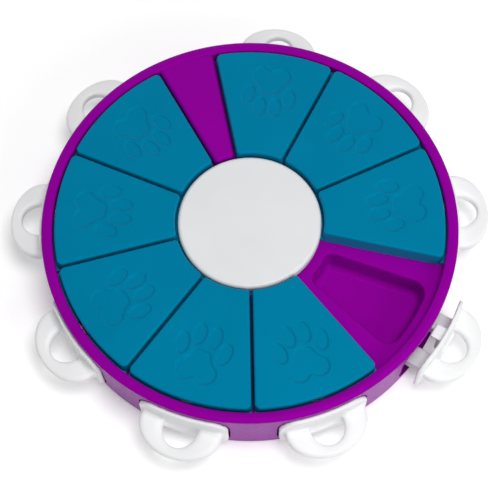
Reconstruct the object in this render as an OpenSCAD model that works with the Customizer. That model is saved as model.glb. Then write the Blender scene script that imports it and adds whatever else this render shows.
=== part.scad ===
// Puzzle feeder for a dog.
// A round tray holds a ring of treat cups under covers that slide around the
// centre. One bay is left without a cover, so its neighbours can move into it.
// A handle in the side wall in front of each bay slides in and out, and its bolt
// locks the cover that stands there.
// The origin is on the body's axis, on the surface that the feet stand on.

/* [Body] */
// Outer radius of the tray
body_r = 130; // [128:0.5:136]
// Height of the rim above the table
body_h = 45; // [44.5:0.25:49]
// Width of the rim's crown
rim_w = 6.8; // [6.4:0.1:7.2]
// Fall of the crown from its middle to the rim's edges
crown_fall = 1.5; // [0.8:0.1:1.8]
// Depth of the track below the rim
track_depth = 13.2; // [12.5:0.1:13.6]
// Thickness of the track's floor and of the tray's outer wall
shell_t = 2.4; // [1.8:0.1:2.6]
// Step of the base's wall inside the tray's wall
seam_step = 0.5; // [0.2:0.1:0.8]
// Thickness of the base's floor
base_t = 2.4; // [2:0.1:2.8]
// Thickness of the base's lip inside the tray's wall
lip_t = 1.8; // [1.4:0.1:2.4]
// Height of the lip above the seam
lip_h = 3; // [2:0.5:5]

/* [Bays] */
// Number of bays
bay_count = 9; // [7:1:9]
// Angle from one bay to the next
bay_pitch = 38; // [36:0.5:38]
// Bay that has no cover over it
open_bay = 4; // [2:1:6]
// Direction of the fixed wedge, seen from above
wedge_dir = 105; // [0:1:360]
// Drop of the wedge's top below the rim
wedge_drop = 0.9; // [0.5:0.1:2]
// Rounding of the wedge's top edges
wedge_round = 2; // [1:0.1:2.4]
// Corner radius of the wedge, seen from above
wedge_corner = 2.6; // [2.5:0.1:3]

/* [Treat pockets] */
// Depth of a pocket below the track
pocket_depth = 11; // [8:0.1:11.2]
// Half of a pocket's angle
pocket_half_angle = 12.1; // [10:0.1:13]
// Land between a pocket and the rim
pocket_outer_land = 5.8; // [5.4:0.1:8]
// Land between a pocket and the covers' inner edge
pocket_inner_land = 4.5; // [3:0.1:8]
// Corner radius at a pocket's wide end
pocket_outer_corner = 9; // [6:0.1:11]
// Corner radius at a pocket's narrow end
pocket_inner_corner = 5.5; // [5:0.1:6.5]
// Rounding between a pocket's wall and floor
pocket_floor_round = 3; // [1.5:0.1:3.5]
// Rounding of a pocket's lip
pocket_lip_round = 1.4; // [0.5:0.1:1.8]
// Inward lean of a pocket's wall, from lip to floor
pocket_lean = 0.9; // [0:0.1:1.2]
// Thickness of a treat cup's wall and floor
pocket_wall_t = 2; // [1.5:0.1:2.2]

/* [Covers] */
// Height of the covers' tops above the rim
cover_rise = 1.5; // [0.5:0.1:3]
// Gap between the covers and the rim
cover_rim_gap = 2; // [1.8:0.1:2.4]
// Gap between two covers, and between a cover and the wedge
cover_side_gap = 1.2; // [0.8:0.1:1.6]
// Wall of a cover
cover_wall = 2.2; // [1.8:0.1:2.6]
// Thickness of a cover's top
cover_top_t = 2.6; // [2:0.1:3.4]
// Rounding of a cover's top edge
cover_round = 2.4; // [1.2:0.1:2.8]
// Inward lean of a cover's sides, from foot to top
cover_lean = 0.4; // [0:0.1:0.8]
// Corner radius at a cover's wide end
cover_outer_corner = 5; // [4:0.1:7]
// Corner radius at a cover's narrow end
cover_inner_corner = 3.6; // [3.3:0.1:4.4]
// Thickness of the tongue under the centre cap and of the flange in the rim
tongue_t = 2; // [1.6:0.1:2.2]
// Reach of the flange into the rim's groove
flange_reach = 1.9; // [1.4:0.1:2]
// Angle from a cover's side to the side of its tongue and flange
tongue_side_angle = 3; // [2:0.5:5]

/* [Paw prints] */
// Depth of the lines that draw a paw print in a cover
paw_line_depth = 0.5; // [0.3:0.1:0.8]
// Width of the lines
paw_line_w = 1; // [0.8:0.1:1.4]
// Distance from the axis to the pad's lobes
pad_lobe_x = 105; // [100:0.5:107]
// Distance from the pad's middle line to a lobe
pad_lobe_y = 6.3; // [5:0.1:7]
// Radius of a lobe
pad_lobe_r = 6.1; // [5.4:0.1:7]
// Distance from the axis to the pad's blunt tip
pad_tip_x = 92; // [91.6:0.1:93]
// Distance from the middle line to a corner of the tip
pad_tip_y = 3.6; // [3:0.1:4]
// Corner radius of the tip
pad_tip_r = 3.1; // [2.5:0.1:3.3]
// Half of a toe's length
toe_half_len = 6.3; // [5:0.1:6.5]
// Half of a toe's width
toe_half_w = 3.6; // [3:0.1:3.8]
// Distance from the axis to the inner pair of toes
inner_toe_x = 81.2; // [79:0.1:81.6]
// Distance from the middle line to an inner toe
inner_toe_y = 4.8; // [4.6:0.1:5.4]
// Distance from the axis to the outer pair of toes
outer_toe_x = 89.2; // [88:0.1:91]
// Distance from the middle line to an outer toe
outer_toe_y = 13.5; // [13:0.1:15]
// Turn of the outer toes away from the middle line
outer_toe_turn = 6; // [0:1:15]

/* [Centre cap] */
// Radius of the centre cap
cap_r = 45; // [43:0.5:47]
// Drop of the cap's top below the rim
cap_drop = 0.4; // [0:0.1:2]
// Gap between the cap and the covers
cap_gap = 1.6; // [1:0.1:2]
// Thickness of the cap's top and of its skirt
cap_t = 2.8; // [2:0.1:3.2]
// Rounding of the cap's edge
cap_round = 2.4; // [1:0.1:2.7]
// Height of the hub above the track
hub_h = 5.2; // [4.6:0.1:5.6]

/* [Handles] */
// Width of a handle's face plate
plate_w = 56; // [52:0.5:58]
// Thickness of the face plate
plate_t = 2.6; // [2:0.1:3]
// Distance from the rim's top down to the face plate
plate_drop = 5; // [4.8:0.1:6]
// Height of the face plate's foot above the table
plate_foot = 4; // [3.8:0.1:5]
// Radius of the face plate's upper corners
plate_upper_corner = 11; // [6:0.5:12]
// Radius of the face plate's lower corners
plate_lower_corner = 4; // [2:0.5:5]
// Gap round the face plate in its recess
recess_gap = 1; // [0.6:0.1:1.5]
// How far a handle can still be pressed in, to lock its cover
lock_travel = 3; // [2.8:0.1:3.1]
// How far a handle pulls out
pull_travel = 10; // [9:0.1:10.2]
// How far the open bay's handle is pulled out at rest
shown_pull = 9; // [0:0.5:9]
// Reach of the finger loop from the face plate
loop_reach = 21; // [19:0.5:24]
// Half of the loop's width
loop_half_w = 25.6; // [24:0.2:26.6]
// Height of the loop's middle above the middle of the face plate
loop_rise = 2.5; // [1:0.5:4]
// Thickness of the loop at its tip
loop_tip_t = 6.5; // [5:0.5:9]
// Thickness of the loop at its roots
loop_root_t = 8; // [6:0.5:12]
// Growth of the loop's thickness where its roots run into the face plate
loop_root_flare = 3; // [0:0.5:5]
// Distance from the face plate to the centre of the loop's outer curve
loop_setback = 1.6; // [0.5:0.1:3]
// Exponent that shapes the loop's section: 1 is an ellipse, less is squarer
loop_section_power = 0.62; // [0.5:0.02:1]
// Reach of the ledge under the finger hole from the face plate
ledge_reach = 1.9; // [1:0.1:3]
// Height of the ledge's front edge
ledge_h = 2.2; // [1.5:0.1:3]
// Height of the hollow sweep from the ledge up to the face plate
ledge_sweep = 10; // [6:0.5:12]
// Depth of the finger hole
hole_depth = 13.4; // [12:0.1:14]
// Half of the finger hole's width
hole_half_w = 11; // [9:0.1:12]
// Width of the bolt
bolt_w = 9; // [7:0.1:10]
// Height of the bolt's nose
bolt_nose_h = 3.2; // [2.4:0.1:3.4]
// Distance from the face plate's top down to the bolt's top
bolt_drop = 2; // [1.5:0.1:2.2]
// Height of the web's foot above the seam
bolt_web_lift = 1.9; // [1:0.1:4]
// Chamfer of the bolt's nose
bolt_chamfer = 0.8; // [0.4:0.1:1]
// Gap between the bolt's tip and the covers that pass it
bolt_gap = 0.4; // [0.3:0.05:0.6]
// Width of a side arm
arm_w = 12; // [9:0.5:13]
// Gap between the arms and the treat cups above them
arm_head_gap = 0.6; // [0.4:0.1:1]
// Distance from the handle's middle to the middle of an arm
arm_offset = 13.4; // [12.5:0.1:14]
// Size of the hook at the arm's end
hook = 3; // [2:0.1:3.4]
// Gap between the hook and the base's floor
hook_gap = 2.8; // [2:0.1:3.2]
// Drop of the rails' cheeks below the arms' tops
rail_cheek_drop = 2; // [1:0.1:3]
// Rise of the middle rail above the arms' feet
middle_rail_rise = 2; // [1:0.1:3]

/* [Fixings and feet] */
// Radius of the screws' shanks
screw_r = 1.5; // [1.2:0.1:1.8]
// Radius of the screws' heads
screw_head_r = 3.2; // [2.8:0.1:3.6]
// Height of the screws' heads
screw_head_h = 2; // [1.6:0.1:2.2]
// Radius of the driver's recess in a screw's head
driver_r = 1.3; // [1:0.1:1.6]
// Depth of the driver's recess
driver_depth = 1.2; // [0.8:0.1:1.4]
// Length of the base screws' shanks
base_screw_l = 14; // [12:0.5:15]
// Shoulder of the base under a base screw's head
screw_shoulder = 1; // [0.8:0.1:2]
// Depth of the cap screws' bores in the cap's top
cap_bore = 1; // [0.6:0.1:1.6]
// Wall of the screw bosses
boss_wall = 2.6; // [2:0.1:3]
// Extra wall of the base's pillars under the bosses
pillar_wall = 1; // [0.5:0.1:1.5]
// Height of the seam between pillars and bosses above the table
boss_foot = 9.6; // [8:0.1:11]
// Radius of the circle that the outer base screws stand on
screw_circle_r = 98; // [92:0.5:104]
// Radius of the circle of the cap's screws
cap_screw_circle_r = 24; // [20:0.5:30]
// Radius of a rubber foot
foot_r = 8; // [6:0.5:10]
// Thickness of a rubber foot
foot_t = 2.5; // [2.2:0.1:2.6]
// Chamfer round a foot's sole
foot_chamfer = 0.5; // [0.3:0.1:1]
// Height of the base's underside above the table
foot_stand = 1.4; // [1:0.1:1.8]
// Radius of the circle of feet
foot_circle_r = 108; // [90:1:112]

/* [Clearances] */
// Gap between pieces that slide on each other
slide_gap = 0.3; // [0.2:0.05:0.4]
// Gap between pieces that are fixed together
fit_gap = 0.1; // [0.05:0.05:0.15]
// Wall left between the rim's groove and a handle's recess
groove_wall = 0.9; // [0.8:0.1:1.2]
// Gap round a screw's head
head_gap = 0.4; // [0.3:0.1:0.6]
// Gap between a screw's tip and the end of its bore
screw_end_gap = 0.4; // [0.2:0.1:0.8]

/* [Hidden] */
$fn = 96;
crown_steps = 10;
far = 400;                       // longer than anything on the body
eps = 0.5;                       // overlap of cuts beyond the faces they open
sink = 0.4;                      // how deep the parts of a handle run into each other

bays = [for (b = [1:bay_count]) b];
covered_bays = [for (b = bays) if (b != open_bay) b];

// Body levels and radii
rim_in = body_r - rim_w;
track_z = body_h - track_depth;
wedge_angle = 360 - bay_count * bay_pitch;
base_r = body_r - seam_step;
base_top = foot_stand + base_t;
groove_h = tongue_t + 2 * slide_gap;
groove_r = rim_in + flange_reach + slide_gap;
recess_r = groove_r + groove_wall;             // floor of a handle's recess
rest_r = recess_r + lock_travel + slide_gap;   // inner face of a handle's plate at rest

// Covers and cap
cover_in = cap_r + cap_gap;
cover_out = rim_in - cover_rim_gap;
cover_foot = track_z + slide_gap;
cover_top = body_h + cover_rise;
tongue_top = cover_foot + tongue_t;
flange_out = rim_in + flange_reach;
cap_top = body_h - cap_drop;
cap_foot = tongue_top + slide_gap;
hub_top = track_z + hub_h;
hub_r = cap_r - cap_t - slide_gap;
tongue_in = hub_r + 2 * slide_gap;

// Pockets
pocket_in = cover_in + pocket_inner_land;
pocket_out = rim_in - pocket_outer_land;
pocket_z = track_z - pocket_depth;
cup_foot = pocket_z - pocket_wall_t;

// Handles, in a frame whose X runs out through the bay
plate_out = rest_r + plate_t;
plate_top = body_h - plate_drop;
bolt_tip = cover_out + bolt_gap;
bolt_top = plate_top - bolt_drop;
nose_foot = bolt_top - bolt_nose_h;
arm_top = cup_foot - arm_head_gap;
arm_foot = base_top + hook_gap + hook;
seam_z = arm_top + slide_gap;                  // the arms slide under the tray's wall
web_foot = seam_z + bolt_web_lift;
web_tip = rim_in + lock_travel + 2 * slide_gap;
loop_z = (plate_top + plate_foot) / 2 + loop_rise;
arm_stop = sqrt(pow(rim_in, 2) - pow(arm_offset + arm_w / 2, 2));   // the hooks stop at the wall here
arm_tip = arm_stop - slide_gap - pull_travel - hook;
boss_r = screw_r + boss_wall;
screw_seat = base_top + screw_shoulder;        // the heads bear on the pillars' shoulders
screw_tip = screw_seat + base_screw_l;

// Direction of a bay, counted clockwise from the wedge
function bay_dir(b) = wedge_dir - wedge_angle / 2 - (b - 0.5) * bay_pitch;
// Direction of the land between bay b and the next one
function land_dir(b) = bay_dir(b) - bay_pitch / 2;
screw_spots = concat([for (b = [1:2:bay_count - 1]) land_dir(b)], [wedge_dir]);

function polar(r, a) = [r * cos(a), r * sin(a)];
// Points of an arc from angle a to angle b
function arc(centre, r, a, b, n) = [for (i = [0:n]) centre + polar(r, a + (b - a) * i / n)];
// The same without its two ends, for an arc that runs smoothly into its neighbours
function inner_arc(r, a, b, n) = [for (i = [1:n - 1]) polar(r, a + (b - a) * i / n)];
function at_z(outline, z) = [for (p = outline) [p.x, p.y, z]];

// Outline of a sector from radius r0 to r1, half an angle either side of X. Its sides stand
// side_gap inside that angle, its corners are rounded, and inset draws it in all round.
function sector(r0, r1, half, side_gap, corner_in, corner_out, inset = 0, n = 5) =
    let (
        c0 = r0 + corner_in,
        c1 = r1 - corner_out,
        a0 = half - asin((side_gap + corner_in) / c0),
        a1 = half - asin((side_gap + corner_out) / c1),
        q0 = corner_in - inset,
        q1 = corner_out - inset
    )
    concat(
        inner_arc(r1 - inset, -a1, a1, 2 * n),
        arc(polar(c1, a1), q1, a1, half + 90, n),
        arc(polar(c0, a0), q0, half + 90, a0 + 180, n),
        inner_arc(r0 + inset, a0, -a0, n),
        arc(polar(c0, -a0), q0, 180 - a0, 270 - half, n),
        arc(polar(c1, -a1), q1, 270 - half, 360 - a1, n)
    );

// Closed skin through rings of points that run counter-clockwise, seen from the last ring
module skin(rings) {
    n = len(rings[0]);
    last = (len(rings) - 1) * n;
    polyhedron(
        points = [for (ring = rings) each ring],
        faces = concat(
            [[for (i = [0:n - 1]) i]],
            [[for (i = [n - 1:-1:0]) last + i]],
            [for (k = [0:len(rings) - 2], i = [0:n - 1])
                [k * n + i, (k + 1) * n + i, (k + 1) * n + (i + 1) % n, k * n + (i + 1) % n]]
        ),
        convexity = 6
    );
}

// Ring between two radii and two heights
module ring(r0, r1, z0, z1) {
    rotate_extrude() translate([r0, z0]) square([r1 - r0, z1 - z0]);
}

module cut_cylinder(r, z0, z1) {
    translate([0, 0, z0]) cylinder(r = r, h = z1 - z0);
}

// Bar along X from x0 to x1, centred on Y = y
module bar(x0, x1, y, w, z0, z1) {
    translate([x0, y - w / 2, z0]) cube([x1 - x0, w, z1 - z0]);
}

// Face plate's outline in the YZ plane, drawn in XY, grown by a gap
module plate_outline(grow) {
    w = plate_w / 2 + grow;
    top = plate_top + grow;
    foot = plate_foot - grow;
    ru = plate_upper_corner + grow;
    rl = plate_lower_corner + grow;
    polygon(concat(
        arc([w - rl, foot + rl], rl, -90, 0, 4),
        arc([w - ru, top - ru], ru, 0, 90, 8),
        arc([ru - w, top - ru], ru, 90, 180, 8),
        arc([rl - w, foot + rl], rl, 180, 270, 4)
    ));
}

// Curved panel with the face plate's outline, from radius r0 to r1
module curved_plate(r0, r1, grow = 0) {
    intersection() {
        ring(r0, r1, plate_foot - grow - eps, plate_top + grow + eps);
        rotate([90, 0, 90]) linear_extrude(far) plate_outline(grow);
    }
}

// Runs its children once in front of each bay
module at_bays() {
    for (b = bays) rotate(bay_dir(b)) children();
}

// Parts of a ring that lie between the blocks of wall round the handles' recesses
module between_wells(r0, r1, z0, z1, grow = 0) {
    difference() {
        ring(r0, r1, z0, z1);
        at_bays() bar(0.85 * r0, far, 0, plate_w + 2 * (recess_gap + shell_t + grow), z0 - eps, z1 + eps);
    }
}

module handle_recess() {
    curved_plate(recess_r, body_r + eps, recess_gap);
}

// ---- Tray ----

// Wall with its groove and rounded crown, track floor and hub, as one turned outline
module tray_section() {
    crown = [for (k = [0:2 * crown_steps]) let (a = 90 * k / crown_steps)
        [rim_in + rim_w / 2 * (1 + cos(a)), body_h - crown_fall * (1 - sin(a))]];
    polygon(concat(
        [[0, hub_top - shell_t], [hub_r - shell_t, hub_top - shell_t], [hub_r - shell_t, track_z - shell_t],
            [rim_in, track_z - shell_t], [rim_in, seam_z], [body_r, seam_z]],
        crown,
        [[rim_in, track_z + groove_h], [groove_r, track_z + groove_h], [groove_r, track_z],
            [hub_r, track_z], [hub_r, hub_top], [0, hub_top]]
    ));
}

module treat_pocket() {
    lip = pocket_lip_round;
    rise = pocket_floor_round;
    lean = pocket_lean;
    steps = 3;
    lip_rings = [for (k = [1:steps - 1]) let (a = 90 * k / steps)
        [track_z - lip * (1 - sin(a)), -lip * (1 - cos(a))]];
    last = 90 * (steps - 1) / steps;
    floor_rings = [for (k = [steps:-1:0]) let (a = 90 * k / steps)
        [pocket_z + rise * (1 - sin(a)), lean + rise * (1 - cos(a))]];
    rings = concat(
        floor_rings,
        [[track_z - lip, 0]],
        lip_rings,
        [[track_z + lip * (1 - sin(last)), -lip * (1 + cos(last))]]    // runs on through the track's plane
    );
    skin([for (ring = rings) at_z(pocket_plan(ring[1]), ring[0])]);
}

function pocket_plan(inset) =
    sector(pocket_in, pocket_out, pocket_half_angle, 0, pocket_inner_corner, pocket_outer_corner, inset, 4);

// Outside of a treat cup from height z0 to z1
module cup_block(z0, z1) {
    translate([0, 0, z0]) linear_extrude(z1 - z0) polygon(pocket_plan(-pocket_wall_t));
}

function wedge_plan(inset) =
    sector(cover_in, rim_in + rim_w / 2, wedge_angle / 2, cover_side_gap / 2,
        wedge_corner, wedge_corner, inset);

module fixed_wedge() {
    top = body_h - wedge_drop;
    steps = 3;
    edge = [for (k = [0:steps]) let (a = 90 * k / steps)
        [top - wedge_round * (1 - sin(a)), wedge_round * (1 - cos(a))]];
    rings = concat([[track_z - eps, 0]], edge);
    skin([for (ring = rings) at_z(wedge_plan(ring[1]), ring[0])]);
}

module wedge_hollow() {
    corner = wedge_corner - sink;
    translate([0, 0, track_z - shell_t - eps])
        linear_extrude(body_h - wedge_drop - track_z + eps)
            polygon(sector(cover_in + shell_t, rim_in - shell_t, wedge_angle / 2,
                cover_side_gap / 2 + shell_t, corner, corner));
}

// Opening for the bolt and its web, in front of one bay
module bolt_slot() {
    w = bolt_w + 2 * slide_gap;
    bar(cover_out - eps, body_r + eps, 0, w, nose_foot - slide_gap, bolt_top + slide_gap);
    bar(rim_in - eps, body_r + eps, 0, w, web_foot - slide_gap, nose_foot);
}

module tray() {
    color("darkmagenta") difference() {
        union() {
            rotate_extrude() tray_section();
            rotate(wedge_dir) fixed_wedge();
            for (a = screw_spots) rotate(a) translate([screw_circle_r, 0, 0])
                cut_cylinder(boss_r, boss_foot, track_z - eps);
            cut_cylinder(boss_r, boss_foot, hub_top - eps);
        }
        rotate(wedge_dir) difference() {
            wedge_hollow();
            translate([screw_circle_r, 0, 0]) cut_cylinder(boss_r, 0, far);
        }
        at_bays() cup_block(track_z - shell_t - eps, track_z + eps);
        at_bays() handle_recess();
        at_bays() bolt_slot();
        between_wells(rim_in - eps, body_r - shell_t, seam_z - eps, track_z - shell_t - eps);
        for (a = screw_spots) rotate(a) translate([screw_circle_r, 0, 0]) boss_bore();
        boss_bore();
        cap_screw_places() cut_cylinder(screw_r + fit_gap, 0, far);
    }
}

module boss_bore() {
    cut_cylinder(screw_r + fit_gap / 2, 0, screw_tip + screw_end_gap);
}

// Cup that fills one of the track's openings, flush with the track
module treat_cup(b) {
    color("darkmagenta") rotate(bay_dir(b)) difference() {
        cup_block(cup_foot, track_z);
        treat_pocket();
    }
}

// ---- Base ----

module base_pillar() {
    cut_cylinder(boss_r + pillar_wall, foot_stand, boss_foot - fit_gap);
}

module base_pillar_bore() {
    cut_cylinder(screw_head_r + head_gap, 0, screw_seat);
    cut_cylinder(screw_r + fit_gap, 0, boss_foot + eps);
}

// Openings for the two arms of one handle
module arm_slots() {
    for (side = [-1, 1])
        bar(arm_stop - eps, base_r + eps, side * arm_offset, arm_w + 2 * slide_gap,
            arm_foot - slide_gap, seam_z + eps);
}

// Rails that carry the arms behind the wall: one shelf under each, and cheeks beside them
module arm_rails() {
    rail_in = arm_tip - lock_travel - slide_gap;
    inner = arm_offset - arm_w / 2 - slide_gap;
    outer = arm_offset + arm_w / 2 + slide_gap;
    for (side = [-1, 1]) {
        bar(rail_in, rim_in + eps, side * (inner + arm_w / 4), arm_w / 3,
            base_top - eps, arm_foot - slide_gap);
        bar(rail_in, rim_in + eps, side * (outer + shell_t / 2), shell_t,
            base_top - eps, arm_top - rail_cheek_drop);
    }
    bar(rail_in, rim_in + eps, 0, 2 * inner, base_top - eps, arm_foot + middle_rail_rise);
}

module base_section() {
    top = seam_z - fit_gap;
    polygon([
        [0, foot_stand], [base_r, foot_stand], [base_r, top], [rim_in, top], [rim_in, base_top], [0, base_top]
    ]);
}

module base() {
    lip_out = body_r - shell_t - fit_gap;
    color("darkmagenta") difference() {
        union() {
            difference() {
                rotate_extrude() base_section();
                between_wells(rim_in - eps, base_r - shell_t, base_top, seam_z + eps);
            }
            between_wells(lip_out - lip_t, lip_out, base_top - eps, seam_z + lip_h, fit_gap);
            at_bays() arm_rails();
            for (a = screw_spots) rotate(a) translate([screw_circle_r, 0, 0]) base_pillar();
            base_pillar();
        }
        at_bays() handle_recess();
        at_bays() arm_slots();
        for (a = screw_spots) rotate(a) translate([screw_circle_r, 0, 0]) base_pillar_bore();
        base_pillar_bore();
        foot_places() cut_cylinder(foot_r + fit_gap, 0, foot_t + fit_gap);
    }
}

// A foot stands under every other bay, clear of the screws
module foot_places() {
    for (b = [1:2:bay_count]) rotate(bay_dir(b)) translate([foot_circle_r, 0, 0]) children();
}

// ---- Centre cap, screws and feet ----

module cap_screw_places() {
    for (k = [0:2]) rotate(wedge_dir + 120 * k) translate([cap_screw_circle_r, 0, 0]) children();
}

module centre_cap() {
    under = cap_top - cap_t;
    color("whitesmoke") difference() {
        union() {
            rotate_extrude() {
                square_from(0, cap_r - cap_round, under, cap_top);
                square_from(cap_r - cap_t, cap_r, cap_foot, cap_top - cap_round);
                translate([cap_r - cap_round, cap_top - cap_round]) intersection() {
                    circle(cap_round);
                    square(cap_round + eps);
                }
                square_from(cap_r - cap_t, cap_r - cap_round, cap_foot, cap_top - eps);
            }
            cap_screw_places() cut_cylinder(boss_r, hub_top + fit_gap, under + eps);
        }
        cap_screw_places() cut_cylinder(screw_r + fit_gap / 2, 0, under + cap_bore);
    }
}

module square_from(x0, x1, y0, y1) {
    translate([x0, y0]) square([x1 - x0, y1 - y0]);
}

// Pan head screw that stands with its head's bearing face at z = seat
module screw(seat, tip) {
    cut_cylinder(screw_r, seat - eps, tip);
    difference() {
        cut_cylinder(screw_head_r, seat - screw_head_h, seat);
        cut_cylinder(driver_r, 0, seat - screw_head_h + driver_depth);
    }
}

module cap_screws() {
    color("silver") cap_screw_places() screw(hub_top - shell_t, cap_top - cap_t + cap_bore - screw_end_gap);
}

module base_screws() {
    color("silver") {
        for (a = screw_spots) rotate(a) translate([screw_circle_r, 0, 0]) screw(screw_seat, screw_tip);
        screw(screw_seat, screw_tip);
    }
}

module feet() {
    color("dimgray") foot_places() rotate_extrude() polygon([
        [0, 0], [foot_r - foot_chamfer, 0], [foot_r, foot_chamfer], [foot_r, foot_t], [0, foot_t]
    ]);
}

// ---- Covers ----

function cover_plan(inset) =
    sector(cover_in, cover_out, bay_pitch / 2, cover_side_gap / 2,
        cover_inner_corner, cover_outer_corner, inset);

module cover_shell() {
    steps = 4;
    r = cover_round;
    edge = [for (k = [0:steps]) let (a = 90 * k / steps)
        [cover_top - r * (1 - sin(a)), cover_lean + r * (1 - cos(a))]];
    skin([for (ring = concat([[cover_foot, 0]], edge)) at_z(cover_plan(ring[1]), ring[0])]);
}

module cover_hollow() {
    skin([
        at_z(cover_plan(cover_wall), cover_foot - eps),
        at_z(cover_plan(cover_wall + cover_lean), cover_top - cover_top_t)
    ]);
}

// Pad of a paw print, grown by a margin: two lobes and a blunt tip, joined by tangents
module paw_pad(grow) {
    lobe = [pad_lobe_x, pad_lobe_y];
    tip = [pad_tip_x, pad_tip_y];
    run = lobe - tip;
    lean = atan2(run.y, run.x) + 90 + asin((pad_lobe_r - pad_tip_r) / norm(run));
    for (side = [-1, 1]) {
        translate([lobe.x, side * lobe.y]) circle(pad_lobe_r + grow);
        translate([tip.x, side * tip.y]) circle(pad_tip_r + grow);
    }
    polygon([
        lobe, lobe + polar(pad_lobe_r + grow, lean), tip + polar(pad_tip_r + grow, lean),
        tip - [pad_tip_r + grow, 0], [tip.x - pad_tip_r - grow, -tip.y],
        [tip.x, -tip.y] + polar(pad_tip_r + grow, -lean), [lobe.x, -lobe.y] + polar(pad_lobe_r + grow, -lean),
        [lobe.x, -lobe.y]
    ]);
}

module paw_toe(grow) {
    scale([toe_half_len + grow, toe_half_w + grow]) circle(1);
}

module paw_lines() {
    half = paw_line_w / 2;
    translate([0, 0, cover_top - paw_line_depth]) linear_extrude(paw_line_depth + eps) {
        difference() {
            paw_pad(half);
            paw_pad(-half);
        }
        toes = [[inner_toe_x, inner_toe_y, 0], [outer_toe_x, outer_toe_y, outer_toe_turn]];
        for (side = [-1, 1], toe = toes)
            translate([toe.x, side * toe.y]) rotate(side * -toe.z) difference() {
                paw_toe(half);
                paw_toe(-half);
            }
    }
}

// Flat sector that a tongue or flange is cut from
module foot_sector(r0, r1) {
    side = bay_pitch / 2 - tongue_side_angle;
    intersection() {
        ring(r0, r1, cover_foot, tongue_top);
        linear_extrude(far) polygon([[0, 0], polar(far, -side), polar(far, side)]);
    }
}

module cover(b) {
    notch_w = bolt_w + 4 * slide_gap;
    color("darkcyan") rotate(bay_dir(b)) difference() {
        union() {
            difference() {
                cover_shell();
                cover_hollow();
            }
            foot_sector(tongue_in, cover_in + cover_wall / 2);
            foot_sector(cover_out - cover_wall / 2, flange_out);
        }
        bar(bolt_tip - lock_travel - slide_gap, far, 0, notch_w, cover_foot - eps, bolt_top + 2 * slide_gap);
        paw_lines();
    }
}

// ---- Handles ----

// One ring of the finger loop, in the upright plane at angle a round the loop
function loop_ring(inner, outer, thick) =
    let (mid = (inner + outer) / 2, half = (outer - inner) / 2)
    [for (k = [0:13]) let (t = -360 * k / 14, c = cos(t), s = sin(t),
        u = sign(c) * pow(abs(c), loop_section_power), v = sign(s) * pow(abs(s), loop_section_power))
        [mid.x + half.x * u, mid.y + half.y * u, loop_z + thick / 2 * v]];

module finger_loop() {
    steps = 14;
    base_x = plate_out + loop_setback;
    outer_axis = loop_reach - loop_setback;
    hole_x = plate_out + ledge_reach;
    root_x = rest_r - sink;
    root = [loop_half_w - sink, hole_half_w];
    round_trip = [for (k = [0:steps]) let (a = -90 + 180 * k / steps)
        loop_ring(
            [hole_x + hole_depth * cos(a), hole_half_w * sin(a)],
            [base_x + outer_axis * cos(a), loop_half_w * sin(a)],
            loop_tip_t + (loop_root_t - loop_tip_t) * pow(abs(sin(a)), 2)
        )];
    function root_ring(side) =
        loop_ring([root_x, side * root[1]], [root_x, side * root[0]], loop_root_t + loop_root_flare);
    skin(concat([root_ring(-1)], round_trip, [root_ring(1)]));
}

// Ledge between the two roots, with a hollow sweep up to the face plate
module loop_ledge() {
    foot = loop_z - loop_root_t / 2 - ledge_reach;
    x0 = rest_r + sink;
    face = plate_out - sink / 2;
    x1 = plate_out + ledge_reach + sink / 4;
    half_w = hole_half_w + 5 * sink;
    sweep = [for (k = [0:6]) let (a = 90 * k / 6)
        [x1 - (x1 - face) * sin(a), foot + ledge_h + ledge_sweep * (1 - cos(a))]];
    rotate([90, 0, 0]) translate([0, 0, -half_w]) linear_extrude(2 * half_w)
        polygon(concat([[x0, foot - ledge_reach], [x1, foot]], sweep, [[x0, foot + ledge_h + ledge_sweep]]));
}

module bolt() {
    rotate([90, 0, 0]) translate([0, 0, -bolt_w / 2]) linear_extrude(bolt_w)
        polygon([
            [bolt_tip + bolt_chamfer, bolt_top], [bolt_tip, bolt_top - bolt_chamfer], [bolt_tip, nose_foot],
            [web_tip, nose_foot], [web_tip, web_foot + 3 * bolt_chamfer], [web_tip + bolt_chamfer, web_foot],
            [rest_r + plate_t / 2, web_foot], [rest_r + plate_t / 2, bolt_top]
        ]);
}

module side_arm(side) {
    y = side * arm_offset;
    bar(arm_tip, rest_r, y, arm_w, arm_foot, arm_top);
    bar(arm_tip, arm_tip + hook, y + side * arm_w / 4, arm_w / 2, arm_foot - hook, arm_foot + eps);
}

module handle(b) {
    pull = b == open_bay ? shown_pull : 0;
    color("whitesmoke") rotate(bay_dir(b)) translate([pull, 0, 0]) {
        curved_plate(rest_r, plate_out);
        finger_loop();
        loop_ledge();
        bolt();
        side_arm(-1);
        side_arm(1);
    }
}

tray();
base();
centre_cap();
cap_screws();
base_screws();
feet();
for (b = bays) treat_cup(b);
for (b = covered_bays) cover(b);
for (b = bays) handle(b);
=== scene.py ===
# %% [markdown]
# # A puzzle feeder for dogs
# The toy is a low round tray with a ring of treat pockets. Covers with a paw print
# slide over the pockets, and each is locked by a loop handle in the side wall. The
# solid model gives every piece its size and place. Here the pieces that are seen get
# meshes with soft moulded edges, and all of them get their plastics.

# %% The solid model
import math

import bmesh
import bpy
from mathutils import Matrix, Vector
from mathutils.geometry import tessellate_polygon


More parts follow.
